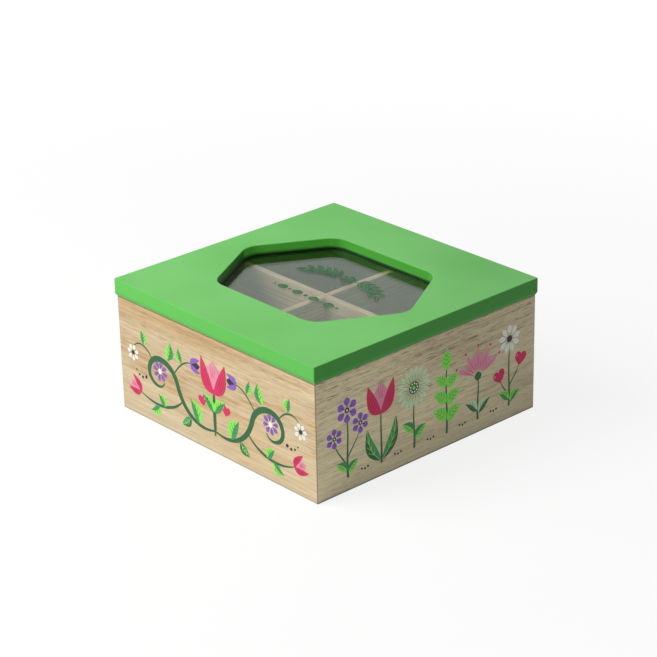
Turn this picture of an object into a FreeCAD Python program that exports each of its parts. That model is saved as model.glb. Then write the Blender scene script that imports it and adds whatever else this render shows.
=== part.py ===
import FreeCAD
import Part
import math
import os
from FreeCAD import Vector

# Wooden box with four compartments and a hinged lid that has a six-sided window.
# Millimetres, +Z up. The origin is the centre of the underside. +X runs along the front, to the right,
# and +Y points to the back, where the hinges are.

# Lid
lid_side = 165.0  # square
lid_thickness = 10.0
lid_overhang = 1.0  # beyond the walls, all round
lid_corner_radius = 1.2
lid_top_ease = 0.6
lid_taper = 3.0  # height over which the lower edge draws in to the walls
lid_stop = 107.0  # degrees, where the back bevels of lid and wall meet

# Window, a long hexagon with its points to the left and right
window_rail = 36.5  # lid edge to the straight sides, front and back
window_stile = 16.5  # lid edge to the points, before they are rounded
window_lean = 30.0  # degrees between a slanted side and the Y axis
window_corner_radius = 12.0
window_ease = 0.5

# Pane and its retainer, in a stepped rebate cut from below
pane_thickness = 2.0
pane_lap = 5.0  # behind the window's edge
pane_gap = 0.3  # round the pane in its rebate
retainer_thickness = 1.8
retainer_recess = 0.2  # above the lid's underside
retainer_flange = 7.0  # beyond the pane's rebate
retainer_gap = 0.2  # round the retainer in its rebate
retainer_setback = 1.0  # inner edge behind the window's edge

# Walls, mitred at the corners
body_height = 68.5
wall_thickness = 8.0
wall_corner_radius = 0.8
wall_ease = 0.5

# Bottom and dividers
bottom_thickness = 3.0
bottom_rebate = 4.0  # depth of its rebate in the walls
divider_thickness = 4.0
divider_drop = 1.5  # below the walls' top edges
divider_housing = 2.0  # depth of the grooves in the walls
divider_ease = 0.4
fit_gap = 0.1  # wood in wood, on each side

# Hinges, a pair of butt hinges let into the back wall and the lid
hinge_length = 20.0
hinge_inset = 24.5  # lid's side edge to the hinge
hinge_axis_inset = 0.6  # axis ahead of the back wall's outer face
barrel_radius = 1.5
leaf_thickness = 1.0
leaf_gap = 0.2  # between the closed leaves
leaf_margin = 0.9  # leaf's free edge to the wall's inner face
knuckle_gap = 0.15
hinge_pin_radius = 0.75
hinge_pin_clearance = 0.03
barrel_clearance = 0.25
mortise_gap = 0.15

# Hinge screws, countersunk at 90 degrees
screw_head_radius = 1.5
screw_shank_radius = 0.8
screw_length = 5.0
screw_tip = 1.2
screw_slot_width = 0.4
screw_slot_depth = 0.35
screw_end_margin = 4.0  # leaf's end to the screw

# Bottom brads and retainer pins, with flat heads
brad_head_radius = 1.1
brad_head_thickness = 0.5
brad_shank_radius = 0.6
brad_length = 12.0
brad_recess = 0.2  # above the underside
brad_corner_margin = 31.5  # body's corner to the brad
pin_head_radius = 1.0
pin_head_thickness = 0.4
pin_shank_radius = 0.45
pin_length = 5.0
nail_tip = 1.0  # length of the point
hole_clearance = 0.02

# Worked out
half_lid = lid_side / 2
half_body = half_lid - lid_overhang
half_inside = half_body - wall_thickness
lid_base = body_height
lid_face = lid_base + lid_thickness
retainer_base = lid_base + retainer_recess
pane_base = retainer_base + retainer_thickness
pane_face = pane_base + pane_thickness
divider_top = body_height - divider_drop
divider_middle = (bottom_thickness + divider_top) / 2
housing_half = divider_thickness / 2 + fit_gap
hinge_axis_y = half_body - hinge_axis_inset
hinge_axis_z = body_height
hinge_x = half_lid - hinge_inset - hinge_length / 2
leaf_width = wall_thickness - hinge_axis_inset - leaf_margin
leaf_depth = leaf_gap / 2 + leaf_thickness
barrel_room = barrel_radius + barrel_clearance
screw_x = hinge_length / 2 - screw_end_margin
screw_y = -(leaf_width + barrel_room) / 2
pane_rebate = pane_lap + pane_gap
retainer_rebate = pane_rebate + retainer_flange
past = lid_side  # run-out of cutting blocks


def block(low, high):
    """Block between two corners."""
    size = [top - bottom for bottom, top in zip(low, high)]
    return Part.makeBox(*size, Vector(*low))


def rounded_corners(corners, radius):
    """Start, middle and end of the arc that rounds each corner."""
    arcs = []
    for i, corner in enumerate(corners):
        back = (corners[i - 1] - corner).normalize()
        ahead = (corners[(i + 1) % len(corners)] - corner).normalize()
        half_angle = back.getAngle(ahead) / 2
        run = radius / math.tan(half_angle)
        inward = (back + ahead).normalize()
        middle = corner + inward * (radius / math.sin(half_angle) - radius)
        arcs.append((corner + back * run, middle, corner + ahead * run))
    return arcs


def slab(corners, radius, base, face):
    """Upright prism on a polygon with rounded corners."""
    arcs = rounded_corners(corners, radius)
    edges = []
    for i, (start, middle, end) in enumerate(arcs):
        edges.append(Part.Arc(start, middle, end).toShape())
        edges.append(Part.LineSegment(end, arcs[(i + 1) % len(arcs)][0]).toShape())
    outline = Part.Face(Part.Wire(edges))
    outline.translate(Vector(0, 0, base))
    return outline.extrude(Vector(0, 0, face - base))


def square_corners(half):
    """Corners of a square about the Z axis."""
    return [Vector(half, half), Vector(-half, half), Vector(-half, -half), Vector(half, -half)]


def window_corners(offset):
    """Sharp corners of the window, moved out by an offset."""
    lean = math.radians(window_lean)
    straight_y = half_lid - window_rail + offset
    point_x = half_lid - window_stile + offset / math.cos(lean)
    straight_x = point_x - straight_y * math.tan(lean)
    right = [Vector(straight_x, -straight_y), Vector(point_x, 0), Vector(straight_x, straight_y)]
    return right + [corner * -1 for corner in right]


def window_slab(offset, base, face):
    """Prism on the window's outline, moved out by an offset."""
    return slab(window_corners(offset), window_corner_radius + offset, base, face)


def turned(shape, quarters):
    """Copy turned about the Z axis by quarter turns."""
    copy = shape.copy()
    copy.rotate(Vector(0, 0, 0), Vector(0, 0, 1), 90 * quarters)
    return copy


def moved(shape, x, y, z):
    """Copy moved by a step."""
    copy = shape.copy()
    copy.translate(Vector(x, y, z))
    return copy


def loop_at(shape, height, inside):
    """Edges of a shape's flat face at one height: the inner loops, or the outer one."""
    for face in shape.Faces:
        level = abs(face.BoundBox.ZMin - height) < 1e-6 and abs(face.BoundBox.ZMax - height) < 1e-6
        if level:
            outer = face.OuterWire
            wires = [wire for wire in face.Wires if wire.isSame(outer) != inside]
            return [edge for wire in wires for edge in wire.Edges]
    return []


# Nails and screws stand head down on the origin and point up


def nail(head_radius, head_thickness, shank_radius, length):
    """Nail with a flat head and a point."""
    shank = length - head_thickness - nail_tip
    shape = Part.makeCylinder(head_radius, head_thickness)
    shape = shape.fuse(Part.makeCylinder(shank_radius, shank, Vector(0, 0, head_thickness)))
    shape = shape.fuse(Part.makeCone(shank_radius, 0, nail_tip, Vector(0, 0, head_thickness + shank)))
    return shape.removeSplitter()


def nail_hole(head_radius, head_thickness, shank_radius, length):
    """Room for a nail, open below its head."""
    shape = Part.makeCylinder(shank_radius + hole_clearance, length + hole_clearance)
    head = Part.makeCylinder(head_radius + hole_clearance, head_thickness + past, Vector(0, 0, -past))
    return shape.fuse(head)


def screw():
    """Countersunk wood screw with a slotted head."""
    cone = screw_head_radius - screw_shank_radius
    shank = screw_length - cone - screw_tip
    shape = Part.makeCone(screw_head_radius, screw_shank_radius, cone)
    shape = shape.fuse(Part.makeCylinder(screw_shank_radius, shank, Vector(0, 0, cone)))
    shape = shape.fuse(Part.makeCone(screw_shank_radius, 0, screw_tip, Vector(0, 0, cone + shank)))
    half_slot = screw_slot_width / 2
    slot = block((-screw_head_radius, -half_slot, 0), (screw_head_radius, half_slot, screw_slot_depth))
    return shape.removeSplitter().cut(slot)


def screw_hole():
    """Countersunk room for a screw."""
    head = screw_head_radius + hole_clearance
    shank = screw_shank_radius + hole_clearance
    cone = Part.makeCone(head, shank, head - shank)
    return cone.fuse(Part.makeCylinder(shank, screw_length + hole_clearance))


brad = (brad_head_radius, brad_head_thickness, brad_shank_radius, brad_length)
retainer_pin = (pin_head_radius, pin_head_thickness, pin_shank_radius, pin_length)


def brad_places():
    """Two brads in each wall's rebate."""
    across = half_inside + bottom_rebate / 2
    along = half_body - brad_corner_margin
    spots = [Vector(along, -across, brad_recess), Vector(-along, -across, brad_recess)]
    turn = FreeCAD.Rotation(Vector(0, 0, 1), 90)
    for spot in list(spots):
        for _ in range(3):
            spot = turn.multVec(spot)
            spots.append(spot)
    return spots


def retainer_pin_places():
    """One pin at each corner and at the middle of each side of the retainer's flange."""
    offset = pane_rebate + retainer_flange / 2
    corners = window_corners(offset)
    arcs = rounded_corners(corners, window_corner_radius + offset)
    spots = []
    for i, (_, middle, end) in enumerate(arcs):
        spots.append(middle)
        spots.append((end + arcs[(i + 1) % len(arcs)][0]) * 0.5)
    return [spot + Vector(0, 0, retainer_base) for spot in spots]


def all_at(shape, spots):
    """Copies of a shape at each spot."""
    return [moved(shape, spot.x, spot.y, spot.z) for spot in spots]


# Hinge pieces are made about the X axis, with the leaves towards -Y

knuckle_length = (hinge_length - 2 * knuckle_gap) / 3
middle_knuckle = [(-knuckle_length / 2, knuckle_length / 2)]
outer_knuckles = [
    (-hinge_length / 2, -knuckle_length / 2 - knuckle_gap),
    (knuckle_length / 2 + knuckle_gap, hinge_length / 2),
]


def rod(start, end, radius):
    """Cylinder along the hinge axis."""
    return Part.makeCylinder(radius, end - start, Vector(start, 0, 0), Vector(1, 0, 0))


def upside_down(shape):
    """Copy turned half over about the Y axis."""
    copy = shape.copy()
    copy.rotate(Vector(0, 0, 0), Vector(0, 1, 0), 180)
    return copy


def hinge_screw_spots():
    """Screw heads in the upper leaf, at the face that meets the other leaf."""
    return [Vector(x, screw_y, leaf_gap / 2) for x in (-screw_x, screw_x)]


def upper_leaf(own_knuckles, other_knuckles):
    """Leaf above the axis, with its own knuckles and room for the other leaf's."""
    half = hinge_length / 2
    leaf = block((-half, -leaf_width, leaf_gap / 2), (half, 0, leaf_depth))
    for start, end in other_knuckles:
        leaf = leaf.cut(rod(start - knuckle_gap, end + knuckle_gap, barrel_room))
    for start, end in own_knuckles:
        leaf = leaf.fuse(rod(start, end, barrel_radius))
    leaf = leaf.cut(rod(-half, half, hinge_pin_radius + hinge_pin_clearance))
    for hole in all_at(screw_hole(), hinge_screw_spots()):
        leaf = leaf.cut(hole)
    return leaf.removeSplitter()


def upper_mortise():
    """Room in the lid for the upper leaf, the barrel and the screws."""
    half = hinge_length / 2 + mortise_gap
    room = block((-half, -leaf_width - mortise_gap, -past), (half, past, leaf_depth))
    room = room.fuse(rod(-half, half, barrel_room))
    for hole in all_at(screw_hole(), hinge_screw_spots()):
        room = room.fuse(hole)
    return room


def at_hinge(shape, side):
    """Copy placed at the left (-1) or right (1) hinge."""
    return moved(shape, side * hinge_x, hinge_axis_y, hinge_axis_z)


def wall():
    """Front wall: mitred, rebated for the bottom and grooved for a divider."""
    outer = -half_body
    inner = -half_inside
    slant = wall_ease * (1 - math.sqrt(0.5))
    low = [Vector(0, outer, wall_ease), Vector(0, outer + slant, slant), Vector(0, outer + wall_ease, 0)]
    edge = body_height - wall_ease
    high = [Vector(0, outer + wall_ease, body_height)]
    high += [Vector(0, outer + slant, body_height - slant), Vector(0, outer, edge)]
    step = inner - bottom_rebate
    inside = [low[2], Vector(0, step, 0), Vector(0, step, bottom_thickness)]
    inside += [Vector(0, inner, bottom_thickness), Vector(0, inner, body_height), high[0]]
    edges = [Part.Arc(*low).toShape(), Part.Arc(*high).toShape()]
    edges += Part.makePolygon(inside).Edges + [Part.makeLine(high[2], low[0])]
    section = Part.Face(Part.Wire(Part.__sortEdges__(edges)))
    section.translate(Vector(-half_body, 0, 0))
    shape = section.extrude(Vector(2 * half_body, 0, 0))
    quadrant = [Vector(0, 0), Vector(-past, -past), Vector(past, -past), Vector(0, 0)]
    mitred = Part.Face(Part.makePolygon(quadrant)).extrude(Vector(0, 0, body_height))
    shape = shape.common(mitred)
    shape = shape.common(slab(square_corners(half_body), wall_corner_radius, 0, body_height))
    groove_low = (-housing_half, inner - divider_housing, bottom_thickness)
    shape = shape.cut(block(groove_low, (housing_half, inner + past, body_height)))
    for hole in all_at(nail_hole(*brad), brad_places()):
        shape = shape.cut(hole)
    return shape


def back_bevel():
    """Wedge off the walls behind the hinge axis, where the lid's own bevel comes to rest."""
    lid_bevel = math.atan2(lid_taper, lid_overhang + hinge_axis_inset)
    wall_bevel = math.radians(lid_stop) - lid_bevel
    reach = hinge_axis_inset + lid_overhang
    drop = reach * math.tan(wall_bevel)
    section = [
        Vector(-past, hinge_axis_y, hinge_axis_z),
        Vector(-past, hinge_axis_y + reach, hinge_axis_z - drop),
        Vector(-past, hinge_axis_y + reach, hinge_axis_z),
    ]
    return Part.Face(Part.makePolygon(section + section[:1])).extrude(Vector(2 * past, 0, 0))


def back_wall():
    """Wall at the back, let in for the hinges."""
    shape = turned(wall(), 2).cut(back_bevel())
    for side in (-1, 1):
        shape = shape.cut(at_hinge(upside_down(upper_mortise()), side))
    return shape


def bottom_panel():
    """Plate in the walls' rebates."""
    half = half_inside + bottom_rebate - fit_gap
    shape = block((-half, -half, 0), (half, half, bottom_thickness))
    for hole in all_at(nail_hole(*brad), brad_places()):
        shape = shape.cut(hole)
    return shape


def divider(slot_base, slot_top):
    """Board from left to right, with a slot for the other divider between two heights."""
    half_length = half_inside + divider_housing - fit_gap
    half = divider_thickness / 2
    shape = block((-half_length, -half, bottom_thickness), (half_length, half, divider_top))
    long_edges = [
        edge
        for edge in shape.Edges
        if abs(edge.BoundBox.ZMin - divider_top) < 1e-6 and edge.BoundBox.XLength > divider_thickness
    ]
    shape = shape.makeFillet(divider_ease, long_edges)
    return shape.cut(block((-housing_half, -past, slot_base), (housing_half, past, slot_top)))


def lid_slab(inset, bevelled):
    """Slab whose right side draws in below, by an arc or a straight bevel, and which runs on elsewhere."""
    low = Vector(half_lid - inset, 0, lid_base)
    high = Vector(half_lid, 0, lid_base + lid_taper)
    if bevelled:
        taper = Part.makeLine(low, high)
    else:
        radius = (inset**2 + lid_taper**2) / (2 * inset)
        half_span = math.asin(lid_taper / radius) / 2
        middle = Vector(-radius + radius * math.cos(half_span), 0, -radius * math.sin(half_span))
        taper = Part.Arc(low, high + middle, high).toShape()
    rest = [high, Vector(half_lid, 0, lid_face), Vector(-past, 0, lid_face), Vector(-past, 0, lid_base), low]
    section = Part.Face(Part.Wire([taper] + Part.makePolygon(rest).Edges))
    section.translate(Vector(0, -past, 0))
    return section.extrude(Vector(0, 2 * past, 0))


def lid_panel():
    """Board with the window, its stepped rebate and the hinge mortises."""
    shape = slab(square_corners(half_lid), lid_corner_radius, lid_base, lid_face)
    side = lid_slab(lid_overhang, False)
    for quarters in (0, 2, 3):
        shape = shape.common(turned(side, quarters))
    shape = shape.common(turned(lid_slab(lid_overhang + hinge_axis_inset, True), 1))
    shape = shape.makeFillet(lid_top_ease, loop_at(shape, lid_face, False))
    shape = shape.cut(window_slab(0, lid_base - past, lid_face + past))
    shape = shape.makeFillet(window_ease, loop_at(shape, lid_face, True))
    shape = shape.cut(window_slab(pane_rebate, lid_base - past, pane_face))
    shape = shape.cut(window_slab(retainer_rebate, lid_base - past, pane_base))
    for hole in all_at(nail_hole(*retainer_pin), retainer_pin_places()):
        shape = shape.cut(hole)
    for side in (-1, 1):
        shape = shape.cut(at_hinge(upper_mortise(), side))
    return shape


def window_pane():
    """Clear sheet under the window's edge."""
    return window_slab(pane_lap, pane_base, pane_face)


def pane_retainer():
    """Thin frame that holds the pane in its rebate."""
    shape = window_slab(retainer_rebate - retainer_gap, retainer_base, pane_base)
    shape = shape.cut(window_slab(retainer_setback, retainer_base, pane_base))
    for hole in all_at(nail_hole(*retainer_pin), retainer_pin_places()):
        shape = shape.cut(hole)
    return shape


parts = {
    "front_wall": wall(),
    "right_wall": turned(wall(), 1).cut(back_bevel()),
    "back_wall": back_wall(),
    "left_wall": turned(wall(), 3).cut(back_bevel()),
    "bottom_panel": bottom_panel(),
    "lengthwise_divider": divider(divider_middle, divider_top),
    "crosswise_divider": turned(divider(bottom_thickness, divider_middle), 1),
    "lid_panel": lid_panel(),
    "window_pane": window_pane(),
    "pane_retainer": pane_retainer(),
    "bottom_brads": Part.makeCompound(all_at(nail(*brad), brad_places())),
    "retainer_pins": Part.makeCompound(all_at(nail(*retainer_pin), retainer_pin_places())),
}

wall_screws = []
lid_screws = []
for name, side in (("left_hinge", -1), ("right_hinge", 1)):
    lid_leaf = upper_leaf(middle_knuckle, outer_knuckles)
    wall_leaf = upside_down(upper_leaf(outer_knuckles, middle_knuckle))
    screws = Part.makeCompound(all_at(screw(), hinge_screw_spots()))
    parts[name + "_lid_leaf"] = at_hinge(lid_leaf, side)
    parts[name + "_wall_leaf"] = at_hinge(wall_leaf, side)
    parts[name + "_pin"] = at_hinge(rod(-hinge_length / 2, hinge_length / 2, hinge_pin_radius), side)
    lid_screws += at_hinge(screws, side).Solids
    wall_screws += at_hinge(upside_down(screws), side).Solids
parts["lid_leaf_screws"] = Part.makeCompound(lid_screws)
parts["wall_leaf_screws"] = Part.makeCompound(wall_screws)

os.makedirs("parts", exist_ok=True)
for name, shape in parts.items():
    shape.exportStep("parts/" + name + ".step")
    state = "valid" if shape.isValid() else "not valid"
    print(name, len(shape.Solids), "solids", round(shape.Volume, 2), "mm3", state)
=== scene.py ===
import math

import bmesh
import bpy
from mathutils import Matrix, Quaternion, Vector


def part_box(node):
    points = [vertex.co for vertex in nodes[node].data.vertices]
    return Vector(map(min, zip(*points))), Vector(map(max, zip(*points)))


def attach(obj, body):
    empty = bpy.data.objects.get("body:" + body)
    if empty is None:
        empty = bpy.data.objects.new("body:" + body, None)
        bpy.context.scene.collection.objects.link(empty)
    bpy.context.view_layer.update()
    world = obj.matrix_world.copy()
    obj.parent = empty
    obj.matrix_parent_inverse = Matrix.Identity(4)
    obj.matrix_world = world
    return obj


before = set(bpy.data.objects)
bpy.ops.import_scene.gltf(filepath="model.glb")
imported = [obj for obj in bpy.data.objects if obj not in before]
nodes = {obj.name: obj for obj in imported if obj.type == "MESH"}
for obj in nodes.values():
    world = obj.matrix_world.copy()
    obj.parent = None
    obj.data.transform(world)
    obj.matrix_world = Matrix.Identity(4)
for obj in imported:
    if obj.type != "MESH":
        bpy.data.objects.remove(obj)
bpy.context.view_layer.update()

mm = 0.001
print("frame loaded:", len(nodes), "pieces")


# node helpers, shared by every finish

def newFinish(name):
    finish = bpy.data.materials.new(name)
    finish.use_nodes = True
    return finish, finish.node_tree, finish.node_tree.nodes["Principled BSDF"]


def put(tree, kind, feeds=None, **options):        # adds a node, sets its options, feeds its sockets
    node = tree.nodes.new("ShaderNode" + kind)
    for option, value in options.items():
        setattr(node, option, value)
    for socket, value in (feeds or {}).items():
        if isinstance(value, bpy.types.NodeSocket):
            tree.links.new(value, node.inputs[socket])
        else:
            node.inputs[socket].default_value = value
    return node


def calc(tree, operation, *values, clamp=False):
    feeds = dict(enumerate(values))
    return put(tree, "Math", feeds, operation=operation, use_clamp=clamp).outputs[0]


def stretch(tree, vector, sizes):        # cell sizes in metres become noise coordinates
    scale = tuple(1 / size for size in sizes)
    return put(tree, "VectorMath", {0: vector, 1: scale}, operation="MULTIPLY").outputs[0]


def noise(tree, vector, detail=2.0, rough=0.5):
    feeds = {"Vector": vector, "Scale": 1.0, "Detail": detail, "Roughness": rough}
    return put(tree, "TexNoise", feeds).outputs["Fac"]


def span(tree, value, low, high, first=0.0, last=1.0):        # low..high becomes first..last
    feeds = {"Value": value, "From Min": low, "From Max": high, "To Min": first, "To Max": last}
    return put(tree, "MapRange", feeds, interpolation_type="SMOOTHSTEP").outputs[0]


def blendColour(tree, share, first, second, how="MIX"):
    node = put(tree, "Mix", {0: share}, data_type="RGBA", blend_type=how)
    for socket, value in ((6, first), (7, second)):
        if isinstance(value, bpy.types.NodeSocket):
            tree.links.new(value, node.inputs[socket])
        else:
            node.inputs[socket].default_value = (*value, 1.0)
    return node.outputs[2]


def dim(tree, colour, level):        # the colour times a grey level
    grey = put(tree, "CombineColor", {0: level, 1: level, 2: level}).outputs[0]
    return blendColour(tree, 1.0, colour, grey, "MULTIPLY")


def hump(tree, value, rise, fall):        # from nought up over the rise, and down over the fall
    return calc(tree, "MULTIPLY", span(tree, value, *rise), span(tree, value, *fall, 1.0, 0.0))


def bump(tree, shader, height, strength, depth):
    node = put(tree, "Bump", {"Height": height, "Strength": strength, "Distance": depth})
    tree.links.new(node.outputs["Normal"], shader.inputs["Normal"])


def dress(finish, *names):
    for name in names:
        slots = nodes[name].data.materials
        slots.clear()
        slots.append(finish)


# boards: rings of a tree cut by the board, with open pores along the grain

ringWood = {
    "wander": (0.16, 0.030, 0.030),        # cell sizes in metres: along the grain, then across it
    "uneven": (0.22, 0.011, 0.011),        # broad rings among narrow ones
    "pore": (0.0085, 0.00048, 0.00048),
    "dash": (0.0056, 0.00042, 0.00042),        # finer pores
    "fibre": (0.0500, 0.00090, 0.00090),
    "cloud": (0.0900, 0.02200, 0.02200),
    "figure": (0.0200, 0.00260, 0.00260),        # short soft streaks
    "drift": 5.0 * mm,        # how far the rings stray
    "unevenBy": 2.2 * mm,
    "early": ((0.0, 0.03), (0.06, 0.55)),        # shares of a ring where its early wood sets in and ends
    "brim": ((0.0, 0.02), (0.03, 0.10)),        # and the dark line at its start
    "crowded": (0.0, 0.7),        # pores crowd in early wood
    "poreCut": (0.54, 0.64),        # what is above this is a pore
    "dashCut": (0.57, 0.68),
    "dashShare": (0.35, 0.70, 0.30, 0.75),        # from, to, then the least and the most of it
    "lineShare": (0.40, 0.62, 0.0, 0.25),
    "ringCut": (0.32, 0.66),
    "cloudShare": (0.34, 0.72, 0.0, 0.26),
    "figureCut": (0.46, 0.68),
    "figureShare": (0.36, 0.60, 0.35, 1.0),
    "fibreShade": (0.28, 0.72, 0.80, 1.11),
    "gloss": (0.25, 0.75, 0.46, 0.62),
    "sparse": 0.3,        # how much of the pores and streaks is left at a board's foot
    "halfLength": 0.08,        # a board fades from one end to the other
    "fibreHeight": 0.35,
    "relief": (0.35, 0.12 * mm),
    "coat": 0.65,
    "insideShadeFrom": (0.1 * mm, 0.4 * mm),        # from the inner faces
    "insideShade": (0.40, 0.43, 0.44),        # painted shade: the faces inside the box are darkened, as the inside lies in shade
    "seam": (0.11 * mm, 0.55 * mm, 0.78),        # the glue line that shows in a mitred corner
    "rim": 0.6 * mm,        # the eased outer edges, where painted shadow lines lie
    "lidShadowRims": (1.6, 0.8),        # painted shadow under the lid, in rims from the edge
    # painted contact shadow along the floor, in rims from the edge
    "floorShadowRims": (1.0, 2.2),
    "rimSide": 0.6,
    # the colour of the painted shadow lines
    "edgeShadowColour": (0.075, 0.060, 0.024),
    "floorShadeColour": (0.42, 0.40, 0.33),        # painted shade: the lowest part of the walls is greyed where they meet the floor
}

boards = {
    "front_wall": {
        "axes": "xyz", "pith": (-0.050, -0.012), "taper": 0.022, "ringGap": 8.2 * mm,
        "shift": (0.31, 0.0, 0.07),
        "pale": (0.665, 0.540, 0.348), "warm": (0.555, 0.358, 0.160), "dark": (0.255, 0.128, 0.058),
        "pores": 0.50, "blush": (0.014, 0.045, 0.20), "rings": (0.04, 0.28), "figure": 0.85, "loose": 0.60,
        "stain": ((0.055, 0.061), (0.000, 0.045), 0.46),        # a warm flush along its upper edge
        "sparse": 0.40, "fade": (0.95, 1.08), "rim": (0.75, 0.35), "foot": (0.30, 2.6 * mm),
    },
    "right_wall": {
        "axes": "yxz", "pith": (0.022, -0.004), "taper": -0.030, "ringGap": 3.8 * mm,
        "shift": (0.83, 0.4, 0.21),
        "pale": (0.850, 0.725, 0.458), "warm": (0.505, 0.388, 0.226), "dark": (0.142, 0.086, 0.045),
        "pores": 1.00, "blush": (0.026, 0.064, 0.27), "rings": (0.05, 0.20), "figure": 0.30, "loose": 0.45,
        "sparse": 0.50, "fade": (1.05, 0.90), "rim": (0.2, 0.85), "foot": (0.25, 9.0 * mm),
    },
    "back_wall": {
        "axes": "xyz", "pith": (0.034, 0.050), "taper": 0.040, "ringGap": 3.9 * mm,
        "shift": (1.57, 0.9, 0.44),
        "pale": (0.715, 0.565, 0.365), "warm": (0.600, 0.395, 0.205), "dark": (0.270, 0.155, 0.080),
        "pores": 0.80, "blush": (0.060, 0.010, 0.35), "rings": (0.10, 0.45), "figure": 0.36, "loose": 0.30,
        "fade": (1.03, 0.95), "rim": (0.5, 0.5), "foot": (0.30, 4.0 * mm),
    },
    "left_wall": {
        "axes": "yxz", "pith": (-0.030, 0.040), "taper": 0.045, "ringGap": 3.7 * mm,
        "shift": (2.29, 1.3, 0.63),
        "pale": (0.715, 0.575, 0.380), "warm": (0.590, 0.405, 0.225), "dark": (0.260, 0.155, 0.085),
        "pores": 0.85, "blush": (0.060, 0.010, 0.30), "rings": (0.10, 0.45), "figure": 0.36, "loose": 0.30,
        "fade": (0.95, 1.03), "rim": (0.5, 0.5), "foot": (0.30, 4.0 * mm),
    },
    "lengthwise_divider": {
        "axes": "xyz", "pith": (0.0, -0.160), "taper": 0.015, "ringGap": 2.6 * mm,
        "shift": (3.1, 1.8, 0.9),
        "pale": (0.800, 0.680, 0.500), "warm": (0.710, 0.540, 0.365), "dark": (0.430, 0.310, 0.190),
        "pores": 0.40, "blush": (0.0, 0.070, 0.15), "rings": (0.12, 0.50), "figure": 0.20, "loose": 0.30,
    },
    "crosswise_divider": {
        "axes": "yxz", "pith": (0.0, -0.150), "taper": -0.012, "ringGap": 2.8 * mm,
        "shift": (3.7, 2.2, 1.1),
        "pale": (0.800, 0.680, 0.500), "warm": (0.710, 0.540, 0.365), "dark": (0.430, 0.310, 0.190),
        "pores": 0.40, "blush": (0.0, 0.070, 0.15), "rings": (0.12, 0.50), "figure": 0.20, "loose": 0.30,
    },
    "bottom_panel": {
        "axes": "xzy", "pith": (-0.240, 0.010), "taper": 0.060, "ringGap": 3.4 * mm,
        "shift": (4.4, 2.7, 1.4),
        # a darker plywood, set dark also as painted shade for the inside of the box
        "pale": (0.500, 0.385, 0.250), "warm": (0.420, 0.300, 0.180), "dark": (0.270, 0.175, 0.100),
        "pores": 0.50, "blush": (-0.080, 0.080, 0.20), "rings": (0.20, 0.65), "figure": 0.20, "loose": 0.30,
    },
}
mitred = ("front_wall", "right_wall", "back_wall", "left_wall")


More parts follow.
